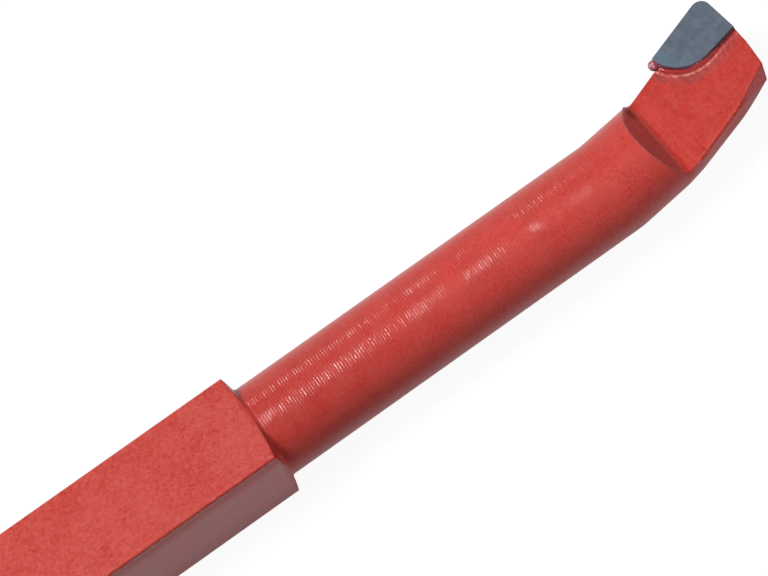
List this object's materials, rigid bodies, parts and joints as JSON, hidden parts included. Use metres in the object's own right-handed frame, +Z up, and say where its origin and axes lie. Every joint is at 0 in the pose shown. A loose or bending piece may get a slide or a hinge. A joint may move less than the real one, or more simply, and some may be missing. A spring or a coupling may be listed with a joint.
{
  "type": "brazed boring bar",
  "caption": "Right-hand boring bar with a square shank, a round neck cranked to one side and a flat-topped head that carries a brazed carbide tip for through holes.",
  "frame": {"origin": "centre of the square shank's base face", "axes": "+X along the bar from the shank to the head, +Y to the side of the carbide tip, +Z up from the base to the clamped face"},
  "size_m": [0.21, 0.0236, 0.016],
  "materials": {
    "bar_paint": "thin red enamel over blasted, turned and milled steel",
    "carbide": "matt blue-grey cemented carbide",
    "braze": "smooth braze, dark red-purple under thin enamel"
  },
  "bodies": {
    "root": {"holder": "bar_paint", "carbide_tip": "carbide", "braze_seam": "braze"}
  },
  "joints": []
}
